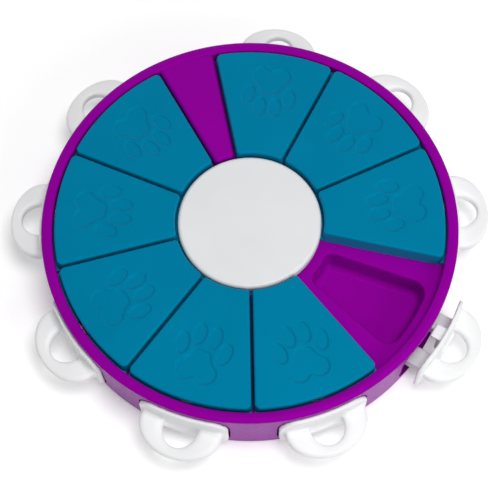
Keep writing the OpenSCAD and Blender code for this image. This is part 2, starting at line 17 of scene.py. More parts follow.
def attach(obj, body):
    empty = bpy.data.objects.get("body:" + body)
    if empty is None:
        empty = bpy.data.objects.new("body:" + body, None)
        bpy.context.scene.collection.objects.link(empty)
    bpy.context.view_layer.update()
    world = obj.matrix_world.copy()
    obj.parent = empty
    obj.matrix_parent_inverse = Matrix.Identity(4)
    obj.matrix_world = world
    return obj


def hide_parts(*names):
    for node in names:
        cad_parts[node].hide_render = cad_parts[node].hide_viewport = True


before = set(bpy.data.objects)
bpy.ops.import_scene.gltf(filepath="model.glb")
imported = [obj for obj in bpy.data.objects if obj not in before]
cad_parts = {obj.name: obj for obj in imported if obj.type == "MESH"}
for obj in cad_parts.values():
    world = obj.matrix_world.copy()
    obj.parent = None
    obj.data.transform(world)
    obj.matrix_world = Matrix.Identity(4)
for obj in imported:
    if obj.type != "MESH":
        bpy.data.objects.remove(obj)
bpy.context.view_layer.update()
MM = 0.001
print("pieces in the solid model:", len(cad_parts))

# %% [markdown]
# ## Sizes
# All sizes are in millimetres, as a mould maker would write them. The origin is on
# the tray's axis, on the floor. The bays are counted clockwise from the fixed wedge,
# and bay 4 is the one without a cover.

# %% Sizes
body_r, body_h, rim_in = 130.0, 45.0, 123.2
track_z, pocket_z = 35.7, 20.8
seam_z, base_r, base_foot = 18.5, 129.5, 1.4
groove_r, groove_h = 125.4, 2.6
recess_r, rest_r, recess_gap = 126.3, 129.6, 0.6
cap_r, cap_top, cap_foot = 45.0, 44.6, 38.3
hub_r, hub_top = 41.9, 38.2
cover_in, cover_out, cover_foot, cover_top = 46.4, 121.9, 36.0, 46.5
wedge_dir, wedge_angle, bay_pitch, open_bay = 105.0, 18.0, 38.0, 4
plate_out, plate_foot, plate_top, plate_half = 132.2, 4.0, 40.0, 28.0
bays = range(1, 10)
covered = [b for b in bays if b != open_bay]


def bay_dir(b):
    return wedge_dir - wedge_angle / 2 - (b - 0.5) * bay_pitch


print("bay directions:", [round(bay_dir(b) % 360) for b in bays])

# %% [markdown]
# ## Camera
# The camera looks down on the toy from the side of bays 5 and 6 through a long lens,
# so the far side is hardly smaller than the near side. Its axes are worked out from
# the height of the view, a turn about the tray's axis and a slight roll.

# %% Camera
view_height, view_turn, view_roll = 66.83, -3.69, -1.41
distance, aim_x, aim_y = 825.0, -0.2, -0.86
focal_px, picture_px, sensor_width = 1258.0, 500, 36
near_clip, far_clip = 0.05, 20

rise, roll = math.radians(view_height), math.radians(view_roll)
right = Vector((1, 0, 0))
up = Vector((0, math.sin(rise), math.cos(rise)))
back = Vector((0, -math.cos(rise), math.sin(rise)))
right_rolled = right * math.cos(roll) + up * math.sin(roll)
up_rolled = up * math.cos(roll) - right * math.sin(roll)
turn = Matrix.Rotation(math.radians(view_turn), 4, "Z")
axes = Matrix((right_rolled, up_rolled, back)).transposed().to_4x4()
stand = Matrix.Translation((Vector((aim_x, aim_y, 0)) + back * distance) * MM)

camera_data = bpy.data.cameras.new("camera")
camera_data.sensor_width = sensor_width
camera_data.lens = focal_px * sensor_width / picture_px
camera_data.clip_start, camera_data.clip_end = near_clip, far_clip
camera = bpy.data.objects.new("camera", camera_data)
camera.matrix_world = turn @ stand @ axes
bpy.context.scene.collection.objects.link(camera)
bpy.context.scene.camera = camera
print("camera stands at", [round(v, 3) for v in camera.matrix_world.translation])

# %% [markdown]
# ## Outlines
# Every part starts as an outline: a circle, or straight runs with rounded corners.
# What is drawn once along +X is swung about the tray's axis into each of the bays.


# %% Outlines
def polar(r, degrees):
    a = math.radians(degrees)
    return (r * math.cos(a), r * math.sin(a))


def circle(r, steps):
    return [polar(r, 360 * i / steps) for i in range(steps)]


def round_corner(cx, cy, r, start, end, steps=10):
    """Arc about the centre (cx, cy), between two directions in degrees."""
    arc = (polar(r, start + (end - start) * k / steps) for k in range(steps + 1))
    return [(cx + x, cy + y) for x, y in arc]


def at_height(outline, z):
    return [(x, y, z) for x, y in outline]


def swung(points, degrees):
    """Points turned about the tray's axis, flat ones or ones with a height."""
    c, s = polar(1, degrees)
    return [(c * x - s * y, s * x + c * y, *height) for x, y, *height in points]


print("first point of a circle, swung by 90 degrees:", [round(v) for v in swung(circle(5, 8), 90)[0]])

# %% [markdown]
# ## Surfaces
# A part is a list of points in millimetres and a list of faces. Most parts are a
# stack of outlines with a surface through them: open like a tube, closed at one end
# like a cup, or closed all round.


# %% Surfaces
def tube(rings):
    """Surface through closed rings that all have the same number of points."""
    n = len(rings[0])
    faces = [[k * n + i, k * n + (i + 1) % n, (k + 1) * n + (i + 1) % n, (k + 1) * n + i]
             for k in range(len(rings) - 1) for i in range(n)]
    return [point for ring in rings for point in ring], faces


def cup(rings):
    """A tube that is closed at its last ring."""
    points, faces = tube(rings)
    return points, faces + [list(range(len(points) - len(rings[0]), len(points)))]


def closed(rings):
    """A tube that is closed at both ends."""
    points, faces = cup(rings)
    return points, faces + [list(range(len(rings[0])))[::-1]]


def turned(outline, steps):
    """Solid turned from a closed outline of (radius, height)."""
    rings = [at_height(circle(r, steps), z) for r, z in outline]
    return tube(rings + [rings[0]])


def block(x0, x1, y0, y1, z0, z1):
    return closed([[(x0, y0, z), (x1, y0, z), (x1, y1, z), (x0, y1, z)] for z in (z0, z1)])


def filled(outlines, z):
    """Flat surface inside the first outline, with the others left open as holes."""
    points = [point for outline in outlines for point in at_height(outline, z)]
    rings = [[Vector((x, y, 0)) for x, y in outline] for outline in outlines]
    return points, [list(triangle) for triangle in tessellate_polygon(rings)]


def together(parts):
    """One part from several."""
    points, faces = [], []
    for more_points, more_faces in parts:
        faces += [[i + len(points) for i in face] for face in more_faces]
        points += more_points
    return points, faces


def in_bay(part, b):
    """A part drawn along +X, swung into bay b."""
    points, faces = part
    return swung(points, bay_dir(b)), faces


print("faces of a block:", len(block(0, 1, 0, 1, 0, 1)[1]))

# %% [markdown]
# ## Pieces
# Parts become one mesh in metres, welded where their points meet. Cuts are exact
# booleans. A smooth surface is shaded by its larger faces, so that flats stay flat
# and only the narrow roundings between them turn. Edges sharper than a limit stay
# crisp.

# %% Pieces
weld_distance = 1e-7
sharp_edge, face_weight = math.radians(38), 80


def place(name, mesh):
    piece = bpy.data.objects.new(name, mesh)
    bpy.context.scene.collection.objects.link(piece)
    return piece


def build(name, parts):
    """A piece made of parts, welded where they meet."""
    points, faces = together(parts)
    mesh = bpy.data.meshes.new(name)
    mesh.from_pydata([(x * MM, y * MM, z * MM) for x, y, z in points], [], faces)
    mesh.validate()
    work = bmesh.new()
    work.from_mesh(mesh)
    bmesh.ops.remove_doubles(work, verts=work.verts, dist=weld_distance)
    bmesh.ops.recalc_face_normals(work, faces=work.faces)
    work.to_mesh(mesh)
    work.free()
    return place(name, mesh)


def bake_modifiers(piece):
    """Turns a piece's modifiers into its own mesh."""
    evaluated = piece.evaluated_get(bpy.context.evaluated_depsgraph_get())
    done = bpy.data.meshes.new_from_object(evaluated)
    piece.modifiers.clear()
    old, piece.data = piece.data, done
    bpy.data.meshes.remove(old)


def carve(piece, parts, how="DIFFERENCE"):
    """Cuts a tool made of parts out of a piece, or adds it, and throws the tool away."""
    tool = build("tool", parts)
    cut = piece.modifiers.new("cut", "BOOLEAN")
    cut.operation, cut.object, cut.solver = how, tool, "EXACT"
    bake_modifiers(piece)
    bpy.data.objects.remove(tool)


def settle(piece):
    """Smooth shading with crisp edges, weighted by the size of the faces."""
    work = bmesh.new()
    work.from_mesh(piece.data)
    for face in work.faces:
        face.smooth = True
    for edge in work.edges:
        edge.smooth = not (edge.is_manifold and edge.calc_face_angle(0) > sharp_edge)
    work.to_mesh(piece.data)
    work.free()
    weighted = piece.modifiers.new("face weights", "WEIGHTED_NORMAL")
    weighted.keep_sharp, weighted.weight = True, face_weight
    bake_modifiers(piece)


def coat(mesh, material):
    mesh.materials.clear()
    mesh.materials.append(material)


print("helpers ready")

# %% [markdown]
# ## Outline of a sector
# Pockets, covers and the fixed wedge all have the same kind of outline: a sector of a
# ring with four rounded corners. The function draws it once, and an inset draws it in
# all round, which makes leaning walls and rounded edges from a stack of outlines.


# %% Outline of a sector
def sector(r0, r1, half, side_gap, corner_in, corner_out, inset=0.0, corner=10, arc=36):
    """Sector from radius r0 to r1, half the angle to each side of +X, less a gap at the sides."""
    c0, c1 = r0 + corner_in, r1 - corner_out
    a0 = half - math.degrees(math.asin((side_gap + corner_in) / c0))
    a1 = half - math.degrees(math.asin((side_gap + corner_out) / c1))
    return (round_corner(0, 0, r1 - inset, -a1, a1, arc)[1:-1]
            + round_corner(*polar(c1, a1), corner_out - inset, a1, half + 90, corner)
            + round_corner(*polar(c0, a0), corner_in - inset, half + 90, a0 + 180, corner)
            + round_corner(0, 0, r0 + inset, a0, -a0, arc // 2)[1:-1]
            + round_corner(*polar(c0, -a0), corner_in - inset, 180 - a0, 270 - half, corner)
            + round_corner(*polar(c1, -a1), corner_out - inset, 270 - half, 360 - a1, corner))


print("points in an outline:", len(sector(cover_in, cover_out, bay_pitch / 2, 0, 2, 3)))

# %% [markdown]
# ## Materials
# No real surface has one flat colour. The materials are made from noise that is fixed
# to the piece, and from colours and numbers that follow the noise between two ends.


# %% Helpers for materials
def new_material(name):
    material = bpy.data.materials.new(name)
    material.use_nodes = True
    return material, material.node_tree.nodes, material.node_tree.links


def noise(nodes, links, scale, detail):
    """Noise that is fixed to the piece."""
    place_on, cloud = nodes.new("ShaderNodeTexCoord"), nodes.new("ShaderNodeTexNoise")
    cloud.inputs["Scale"].default_value = scale
    cloud.inputs["Detail"].default_value = detail
    links.new(place_on.outputs["Object"], cloud.inputs["Vector"])
    return cloud.outputs["Fac"]


def two_tone(nodes, links, value, deep, light, start=0.0, end=1.0):
    """Colour that goes from deep to light while the value goes from start to end."""
    ramp = nodes.new("ShaderNodeValToRGB")
    first, last = ramp.color_ramp.elements
    first.position, last.position = start, end
    first.color, last.color = (*deep, 1), (*light, 1)
    links.new(value, ramp.inputs["Fac"])
    return ramp.outputs["Color"]


def spread(nodes, links, value, low, high, start=0.0, end=1.0):
    """Number that goes from low to high while the value goes from start to end."""
    span = nodes.new("ShaderNodeMapRange")
    span.inputs["From Min"].default_value, span.inputs["From Max"].default_value = start, end
    span.inputs["To Min"].default_value, span.inputs["To Max"].default_value = low, high
    links.new(value, span.inputs["Value"])
    return span.outputs["Result"]


print("helpers for materials ready")

# %% [markdown]
# ## The plastics
# The shells are moulded in purple, teal and two whites. Each plastic has a fine grain
# from the mould, and its colour and gloss change a little where the melt flowed. The
# grain is a bump from noise at the real scale, tenths of a millimetre.

# %% The plastics
flow_scale, speck_scale, grain_scale, grain_height = 26, 420, 2600, 0.00005


def moulded_plastic(name, colour, deep_colour, gloss, grain, specular, shine=(1, 1, 1)):
    """Plastic with mould grain. Gloss is its roughness, and shine tints its reflection."""
    material, nodes, links = new_material(name)
    shader = nodes["Principled BSDF"]

    flow = noise(nodes, links, flow_scale, 3)
    links.new(two_tone(nodes, links, flow, deep_colour, colour, 0.3, 0.72), shader.inputs["Base Color"])

    speck = noise(nodes, links, speck_scale, 4)
    links.new(spread(nodes, links, speck, gloss - 0.04, gloss + 0.05, 0.3, 0.7), shader.inputs["Roughness"])

    bump = nodes.new("ShaderNodeBump")
    bump.inputs["Strength"].default_value = grain
    bump.inputs["Distance"].default_value = grain_height
    links.new(noise(nodes, links, grain_scale, 2), bump.inputs["Height"])
    links.new(bump.outputs["Normal"], shader.inputs["Normal"])

    shader.inputs["Specular IOR Level"].default_value = specular
    shader.inputs["Specular Tint"].default_value = (*shine, 1)
    return material


purple = moulded_plastic(
    "purple shell plastic", colour=(0.266, 0.0005, 0.304), deep_colour=(0.246, 0.0005, 0.282),
    gloss=0.34, grain=0.25, specular=0.15, shine=(0.8, 0.0, 1))
teal = moulded_plastic(
    "teal cover plastic", colour=(0.0004, 0.188, 0.34), deep_colour=(0.0002, 0.176, 0.32),
    gloss=0.36, grain=0.35, specular=0.2, shine=(0.0, 0.65, 1))
white = moulded_plastic(
    "white cap plastic", colour=(0.75, 0.76, 0.775), deep_colour=(0.72, 0.73, 0.745),
    gloss=0.38, grain=0.25, specular=0.3)
bright_white = moulded_plastic(
    "white handle plastic", colour=(0.85, 0.855, 0.86), deep_colour=(0.82, 0.825, 0.83),
    gloss=0.36, grain=0.25, specular=0.3)
print("plastics:", purple.name, teal.name, white.name, bright_white.name)

# %% [markdown]
# ## Paw prints
# A paw print is a pad and four toes, each pressed a little into the cover's top. It is
# real geometry: a soft step runs along each outline from the flat top down to the
# print's floor, and the top is filled between the outlines.

# %% Paw prints
pad_half = [(90.1, 3.2), (91.6, 5.6), (94.8, 6.9), (97.8, 9.0), (100.1, 11.6),
            (103.6, 12.6), (107.1, 11.6), (109.4, 8.9), (110.1, 5.9), (109.0, 3.0)]
pad_front, pad_dent = (89.9, 0.0), (107.3, 0.0)


def curve(a, b, c, d, t):
    """Place between b and c, a share t of the way, on a curve that comes from a and goes on to d."""
    return (2 * b + (c - a) * t + (2 * a - 5 * b + 4 * c - d) * t * t + (3 * b - a - 3 * c + d) * t ** 3) / 2


def soft_outline(corners, steps=8):
    """Closed curve that runs smoothly through all its corners."""
    n, outline = len(corners), []
    for i in range(n):
        around = [corners[(i + k) % n] for k in (-1, 0, 1, 2)]
        outline += [tuple(curve(*values, k / steps) for values in zip(*around)) for k in range(steps)]
    return outline


def pad_outline():
    """Outline of the pad: a blunt end towards the toes and two lobes towards the rim."""
    far_side = [(x, -y) for x, y in pad_half]
    return soft_outline(far_side + [pad_dent] + pad_half[::-1] + [pad_front])


def toe_outline(side, x, y, splay, half_length, half_width, steps=40):
    """Outline of a toe to one side of the print's middle line, side 1 or -1."""
    c, s = polar(1, -side * splay)
    return [(x + c * half_length * math.cos(a) - s * half_width * math.sin(a),
             side * y + s * half_length * math.cos(a) + c * half_width * math.sin(a))
            for a in (2 * math.pi * k / steps for k in range(steps))]


def beside(outline, shift):
    """The same closed outline moved outward by a shift."""
    n, moved = len(outline), []
    for i, (x, y) in enumerate(outline):
        (x0, y0), (x1, y1) = outline[i - 1], outline[(i + 1) % n]
        length = math.hypot(x1 - x0, y1 - y0)
        moved.append((x + shift * (y1 - y0) / length, y - shift * (x1 - x0) / length))
    return moved


inner_toe = dict(x=80.6, y=4.9, splay=0, half_length=7.0, half_width=4.0)
outer_toe = dict(x=88.5, y=13.3, splay=8, half_length=7.0, half_width=4.2)
toe_outlines = [toe_outline(side, **toe) for toe in (inner_toe, outer_toe) for side in (-1, 1)]
paw_outlines = [pad_outline()] + toe_outlines
press_profile = [(0.72, 0.0), (0.46, -0.06), (0.15, -0.28), (-0.15, -0.54), (-0.46, -0.76), (-0.72, -0.82)]
print("paw outlines:", len(paw_outlines), "points in the pad:", len(paw_outlines[0]))

# %% [markdown]
# ## Covers
# A cover is a thin cap: a flat top with a soft edge, walls that lean in a little, and
# open underneath. A tongue at its narrow end runs under the centre cap and a flange
# at its wide end runs in the rim's groove. A notch in the wide wall takes the bolt.

# %% Shell of a cover
side_gap, side_lean, end_lean = 0.08, 0.9, 0.2
cover_edge, foot_edge, cover_wall, cover_lid, hollow_edge = 1.3, 0.25, 2.0, 2.4, 0.8


def cover_plan(side, ends, inset=0.0, corner_in=2.2, corner_out=3.6):
    r0, r1 = cover_in + ends, cover_out - ends
    return sector(r0, r1, bay_pitch / 2, side_gap + side, corner_in, corner_out, inset)


def hollow_plan(side, ends, inset=0.0):
    return cover_plan(cover_wall + side, cover_wall + ends, inset, 1.2, 1.8)


def cover_outside():
    """Foot, leaning walls and the soft edge, up to the flat top."""
    rings = [at_height(hollow_plan(0, 0), cover_foot),
             at_height(cover_plan(0, 0, foot_edge), cover_foot),
             at_height(cover_plan(0, 0), cover_foot + foot_edge)]
    for x, z in round_corner(-cover_edge, cover_top - cover_edge, cover_edge, 0, 90, 12):
        rings.append(at_height(cover_plan(side_lean, end_lean, -x), z))
    return tube(rings)


def printed_top():
    """The steps and floors of the paw print, and the flat top between them."""
    parts, outlines = [], [cover_plan(side_lean, end_lean, cover_edge)]
    for outline in paw_outlines:
        step = [at_height(beside(outline, shift), cover_top + dip) for shift, dip in press_profile]
        parts.append(cup(step))
        outlines.append(beside(outline, press_profile[0][0]))
    return parts + [filled(outlines, cover_top)]


def cover_hollow():
    """The inside of the walls and of the lid."""
    rings = [at_height(hollow_plan(0, 0), cover_foot)]
    lid_z = cover_top - cover_lid
    for x, z in round_corner(-hollow_edge, lid_z - hollow_edge, hollow_edge, 0, 90, 4):
        rings.append(at_height(hollow_plan(side_lean, end_lean, -x), z))
    return cup(rings)


print("points round a cover:", len(cover_plan(0, 0)))

# %% [markdown]
# The tongue and the flange are flat sectors that overlap the walls a little, so that
# they grow into one piece with the shell.

# %% One cover
tongue_in, flange_out, overlap = 42.5, 125.1, 1.1
slab_gap, slab_foot, slab_top = 0.5, cover_foot + 0.02, cover_foot + 2.0
notch_in, notch_out, notch_half, notch_foot, notch_top = 118.3, 140, 5.1, 30, 38.6


def foot_slab(r0, r1):
    half = bay_pitch / 2 - slab_gap
    outline = round_corner(0, 0, r1, -half, half, 24) + round_corner(0, 0, r0, half, -half, 24)
    return closed([at_height(outline, z) for z in (slab_foot, slab_top)])


cover_shell = build("cover_shell", [cover_outside()] + printed_top() + [cover_hollow()])
tongue, flange = foot_slab(tongue_in, cover_in + overlap), foot_slab(cover_out - overlap, flange_out)
carve(cover_shell, [tongue, flange], "UNION")
carve(cover_shell, [block(notch_in, notch_out, -notch_half, notch_half, notch_foot, notch_top)])
settle(cover_shell)
print("faces in one cover:", len(cover_shell.data.polygons))

# %% [markdown]
# ## The eight covers
# The covers are alike, so one mesh serves all eight. Each is turned into its bay and
# rides on its own body, which turns about the tray's axis.

# %% The eight covers
for b in covered:
    piece = place(f"paw_cover_{b}", cover_shell.data.copy())
    piece.data.transform(Matrix.Rotation(math.radians(bay_dir(b)), 4, "Z"))
    coat(piece.data, teal)
    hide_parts(f"cover_{b}")
    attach(piece, f"cover_{b}")
bpy.data.objects.remove(cover_shell)
print("covers placed:", len(covered))

# %% [markdown]
# ## Face plate of a handle
# The plate is a panel that follows the round wall. The same panel, grown by a gap,
# later cuts the plate's seat out of the wall, so plate and seat always fit.

# %% Face plate of a handle
plate_upper, plate_lower = 11, 9
shares = (1, 0.86, 0.7, 0.52, 0.34, 0.16)


def plate_outline(grow, corner=10, side=12):
    """Outline of the face plate as (y, z), grown all round."""
    half, top, foot = plate_half + grow, plate_top + grow, plate_foot - grow
    upper, lower = plate_upper + grow, plate_lower + grow
    corners = (round_corner(half - lower, foot + lower, lower, -90, 0, corner),
               round_corner(half - upper, top - upper, upper, 0, 90, corner),
               round_corner(upper - half, top - upper, upper, 90, 180, corner),
               round_corner(lower - half, foot + lower, lower, 180, 270, corner))
    outline = []
    for i, bend in enumerate(corners):
        (y0, z0), (y1, z1) = bend[-1], corners[(i + 1) % 4][0]
        run = [(y0 + (y1 - y0) * k / side, z0 + (z1 - z0) * k / side) for k in range(1, side)]
        outline += bend + run
    return outline


def curved_slab(r0, r1, grow=0.0, flare=0.0):
    """Panel on the round wall from radius r0 to r1, with faces that follow the round."""
    middle_z = (plate_top + plate_foot) / 2

    def on_wall(r, outline, share):
        shrunk = [(y * share, middle_z + (z - middle_z) * share) for y, z in outline]
        return [(math.sqrt(r * r - y * y), y, z) for y, z in shrunk]

    sides = ((r0, plate_outline(grow)), (r1, plate_outline(grow + flare)))
    edge = tube([on_wall(r, outline, 1) for r, outline in sides])
    return together([edge] + [cup([on_wall(r, outline, share) for share in shares]) for r, outline in sides])


print("points round the plate:", len(plate_outline(0)))

# %% [markdown]
# ## Finger loop
# The loop is a bow, full on its outer side and rounder on its inner side, where the
# fingers pull. It is thickest at its roots, which start behind the face of the plate,
# and a ledge with a hollow sweep fills the corner between them.

# %% Finger loop
loop_z, root_t, end_t, bow_t = 24.5, 11, 8.0, 6.5
hole_x, hole_deep, hole_half = plate_out + 1.9, 12.2, 10.6
loop_x, loop_deep, loop_half, root_half = plate_out + 1.6, 19.4, 25.6, 25.2
full, rounder = 0.42, 0.55
ledge_foot, ledge_slope, ledge_lip, ledge_sweep, ledge_half = 18.6, 1.9, 2.2, 10, 13


def loop_section(inner, outer, thick, steps=40):
    """Section of the finger loop between two places in plan."""
    middle = [(a + b) / 2 for a, b in zip(inner, outer)]
    reach = [(b - a) / 2 for a, b in zip(inner, outer)]
    ring = []
    for k in range(steps):
        c, s = math.cos(-2 * math.pi * k / steps), math.sin(-2 * math.pi * k / steps)
        soft = full if c > 0 else rounder
        u, v = math.copysign(abs(c) ** soft, c), math.copysign(abs(s) ** soft, s)
        ring.append((middle[0] + reach[0] * u, middle[1] + reach[1] * u, loop_z + thick / 2 * v))
    return ring


def finger_loop(steps=56):
    root_x = rest_r - 0.4
    rings = [loop_section((root_x, -hole_half), (root_x, -root_half), root_t)]
    for k in range(steps + 1):
        c, s = polar(1, -90 + 180 * k / steps)
        inner = (hole_x + hole_deep * c, hole_half * s)
        outer = (loop_x + loop_deep * c, loop_half * s)
        rings.append(loop_section(inner, outer, bow_t + (end_t - bow_t) * s * s))
    rings.append(loop_section((root_x, hole_half), (root_x, root_half), root_t))
    return closed(rings)


def loop_ledge():
    """Ledge between the roots, with a hollow sweep from its front edge up to the face plate."""
    inside_x, face, front = rest_r + 0.4, plate_out - 0.2, plate_out + 2.0
    sweep_z = ledge_foot + ledge_lip
    sweep = [(front - (front - face) * math.sin(a), sweep_z + ledge_sweep * (1 - math.cos(a)))
             for a in (math.pi / 2 * k / 12 for k in range(13))]
    underside = [(inside_x, ledge_foot - ledge_slope), (front, ledge_foot)]
    outline = underside + sweep + [(inside_x, sweep_z + ledge_sweep)]
    return closed([[(x, y, z) for x, z in outline] for y in (-ledge_half, ledge_half)])


print("points round the loop:", len(finger_loop()[0]))

# %% [markdown]
# ## Bolt and arms
# Behind the plate a bolt reaches up to the cover's notch, and two arms slide on rails
# in the base. A hook under each arm stops at the wall, so the handle can't be lost.

# %% Bolt and arms
bolt_half, bolt_foot, bolt_top, bolt_root = 4.5, 20.4, 38.0, rest_r + 1.3
nose_r, nose_edge, stem_r, stem_slope = 122.2, 0.8, 126.8, 2.4
arm_end, arm_at, arm_half, arm_foot, arm_top = 108.36, 13.4, 6, 9.6, 18.2
hook_at, hook_half, hook_out, hook_foot, hook_top = 16.4, 3, 111.1, 6.6, 10.1


def bolt():
    outline = [(nose_r + nose_edge, bolt_top), (nose_r, bolt_top - nose_edge), (nose_r, cover_foot),
               (stem_r, cover_foot), (stem_r, bolt_foot + stem_slope), (stem_r + nose_edge, bolt_foot),
               (bolt_root, bolt_foot), (bolt_root, bolt_top)]
    return closed([[(x, y, z) for x, z in outline] for y in (-bolt_half, bolt_half)])


def arm(side):
    middle, hook = side * arm_at, side * hook_at
    return together([block(arm_end, rest_r + 0.5, middle - arm_half, middle + arm_half, arm_foot, arm_top),
                     block(arm_end, hook_out, hook - hook_half, hook + hook_half, hook_foot, hook_top)])


print("length of an arm:", round(rest_r - arm_end, 1))

# %% [markdown]
# ## The nine handles
# A handle is one white moulding. Its parts are melted into one skin by a voxel remesh
# and smoothed a little, which gives the soft hollows where the loop meets the plate.
# The skin is made once and copied to all nine bays. The open bay's handle is pulled
# out, as the solid model has it.

# %% The nine handles
voxel_size, smoothing, pulled_out = 0.55, 6, 9
handle_parts = [curved_slab(rest_r, plate_out), finger_loop(), loop_ledge(), bolt(), arm(-1), arm(1)]
handle_skin = build("handle_skin", handle_parts)
melt = handle_skin.modifiers.new("melt", "REMESH")
melt.mode, melt.voxel_size, melt.adaptivity = "VOXEL", voxel_size * MM, 0
soften = handle_skin.modifiers.new("soften", "SMOOTH")
soften.factor, soften.iterations = 0.5, smoothing
bake_modifiers(handle_skin)
for face in handle_skin.data.polygons:
    face.use_smooth = True
print("faces in one handle:", len(handle_skin.data.polygons))

for b in bays:
    piece = place(f"loop_handle_{b}", handle_skin.data.copy())
    pull = Matrix.Translation((pulled_out * MM if b == open_bay else 0, 0, 0))
    piece.data.transform(Matrix.Rotation(math.radians(bay_dir(b)), 4, "Z") @ pull)
    coat(piece.data, bright_white)
    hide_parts(f"handle_{b}")
    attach(piece, f"handle_{b}")
bpy.data.objects.remove(handle_skin)
print("handles placed:", len(bays))

# %% [markdown]
# ## Tray
# The tray is the purple bowl of the toy: a wall with a rounded crown, a flat track
# with nine pockets, and the wedge between bays 1 and 9. The wall is turned like a
# pot on a lathe, and then the seats of the handles are cut out of it, each with a
# fine chamfer round its mouth that catches the light.

# %% Seats of the handles
seat_out, mouth, chamfer = body_r - 0.25, 0.3, 0.5
slot_in, slot_out, slot_side, slot_under, arm_room = 120, 131, 0.9, 0.8, 1.1


def seats():
    return [in_bay(curved_slab(recess_r, seat_out, recess_gap), b) for b in bays]


def seat_chamfers():
    return [in_bay(curved_slab(body_r - mouth, body_r + mouth, recess_gap, chamfer), b) for b in bays]


def slot(middle, half, foot, top):
    reach = half + slot_side
    return block(slot_in, slot_out, middle - reach, middle + reach, foot - slot_under, top)


def slots():
    """Openings behind a face plate: one for the bolt and one for each arm."""
    openings = [slot(0, bolt_half, bolt_foot, bolt_top + slot_side)]
    openings += [slot(side * arm_at, arm_half, arm_foot, arm_top + arm_room) for side in (-1, 1)]
    return [in_bay(opening, b) for b in bays for opening in openings]


def cut_for_handles(wall):
    for tools in (seats(), seat_chamfers(), slots()):
        carve(wall, tools)


print("openings in the wall:", len(slots()))

# %% [markdown]
# The crown of the wall is nearly flat, a little higher along its middle, with a
# crisp outer corner and a softer inner one.

# %% The tray's wall
outer_corner, inner_corner, crown_rise, seam_edge, around = 0.9, 1.3, 0.3, 0.3, 720
land_z = body_h - crown_rise
land_out, land_in = body_r - outer_corner, rim_in + inner_corner
land = [(land_out - (land_out - land_in) * k / 10, body_h - crown_rise * (1 - k / 5) ** 2)
        for k in range(1, 10)]
crown = (round_corner(land_out, land_z - outer_corner, outer_corner, 0, 90, 6) + land
         + round_corner(land_in, land_z - inner_corner, inner_corner, 90, 180, 8))
wall_foot = [(rim_in, seam_z), (body_r - seam_edge, seam_z), (body_r, seam_z + seam_edge)]
groove_top = track_z + groove_h
groove = [(rim_in, groove_top), (groove_r, groove_top), (groove_r, track_z), (rim_in, track_z)]
tray_wall = build("tray_wall", [turned(wall_foot + crown + groove, around)])
cut_for_handles(tray_wall)
settle(tray_wall)
print("faces in the wall:", len(tray_wall.data.polygons))

# %% [markdown]
# ## Track and pockets
# The track is a flat ring with nine holes, and each hole runs over a rounded lip into
# its pocket. The pocket's wall leans in a little, so that it leaves the mould, and
# turns into the floor in a soft curve. The hub for the centre cap stands on the track.

# %% Track and pockets
pocket_in, pocket_out, pocket_angle = 51.1, 117.4, 12.1
pocket_corner_in, pocket_corner_out = 5.5, 9.0
lip, pocket_lean, fillet = 1.4, 1.6, 4.5
hub_bore, hub_sink, hub_edge, hub_steps = 20, 0.5, 0.4, 180


def pocket_plan(inset):
    return sector(pocket_in, pocket_out, pocket_angle, 0.0, pocket_corner_in, pocket_corner_out,
                  inset, corner=12, arc=30)


def pocket_part(b):
    profile = (round_corner(-lip, track_z - lip, lip, 90, 0, 8)
               + round_corner(pocket_lean + fillet, pocket_z + fillet, fillet, 180, 270, 8))
    return in_bay(cup([at_height(pocket_plan(inset), z) for inset, z in profile]), b)


def track_part():
    mouths = [swung(pocket_plan(-lip), bay_dir(b)) for b in bays]
    return filled([circle(rim_in, around), circle(hub_r - hub_sink, hub_steps)] + mouths, track_z)


def hub_part():
    outline = [(hub_r, track_z - hub_sink), (hub_r, hub_top - hub_edge), (hub_r - hub_edge, hub_top),
               (hub_bore, hub_top), (hub_bore, track_z - hub_sink)]
    return turned(outline, hub_steps)


print("pocket depth:", round(track_z - pocket_z, 1))

# %% [markdown]
# The wedge is a sector that stands nearly as high as the rim. A small fillet joins its
# foot to the track, and its wide end runs on into the wall.

# %% Wedge
wedge_gap, wedge_corner, wedge_edge, wedge_drop, wedge_overlap = 0.9, 3.2, 2.6, 0.9, 3
wedge_fillet = [(-0.6, 0), (-0.15, 0.15), (0, 0.6)]


def wedge_part():
    top = body_h - wedge_drop
    profile = [(inset, track_z + up_by) for inset, up_by in wedge_fillet]
    profile += [(-x, z) for x, z in round_corner(-wedge_edge, top - wedge_edge, wedge_edge, 0, 90, 10)]
    r1, half = rim_in + wedge_overlap, wedge_angle / 2
    rings = [at_height(sector(cover_in, r1, half, wedge_gap, wedge_corner, wedge_corner, inset), z)
             for inset, z in profile]
    points, faces = cup(rings)
    return swung(points, wedge_dir), faces


tray_floor = build("tray_floor", [track_part(), wedge_part(), hub_part()] + [pocket_part(b) for b in bays])
settle(tray_floor)
print("faces in track, pockets and wedge:", len(tray_floor.data.polygons))

# %% [markdown]
# ## The tray on its body
# Wall and floor are two meshes of one moulding. The solid model has the treat cups as
# pieces of their own, and the pockets drawn here stand for them too.

# %% The tray on its body
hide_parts("tray")
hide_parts("tray", *(f"treat_cup_{b}" for b in bays))
for piece in (tray_wall, tray_floor):
    coat(piece.data, purple)
    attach(piece, "body")
print("tray in place")

# %% [markdown]
# ## Base
# The base closes the toy from below. Its wall stands half a millimetre inside the
# tray's wall, which draws the seam line round the side. The floor and its screw
# pillars are the solid model's; only the wall that shows gets the soft edges.

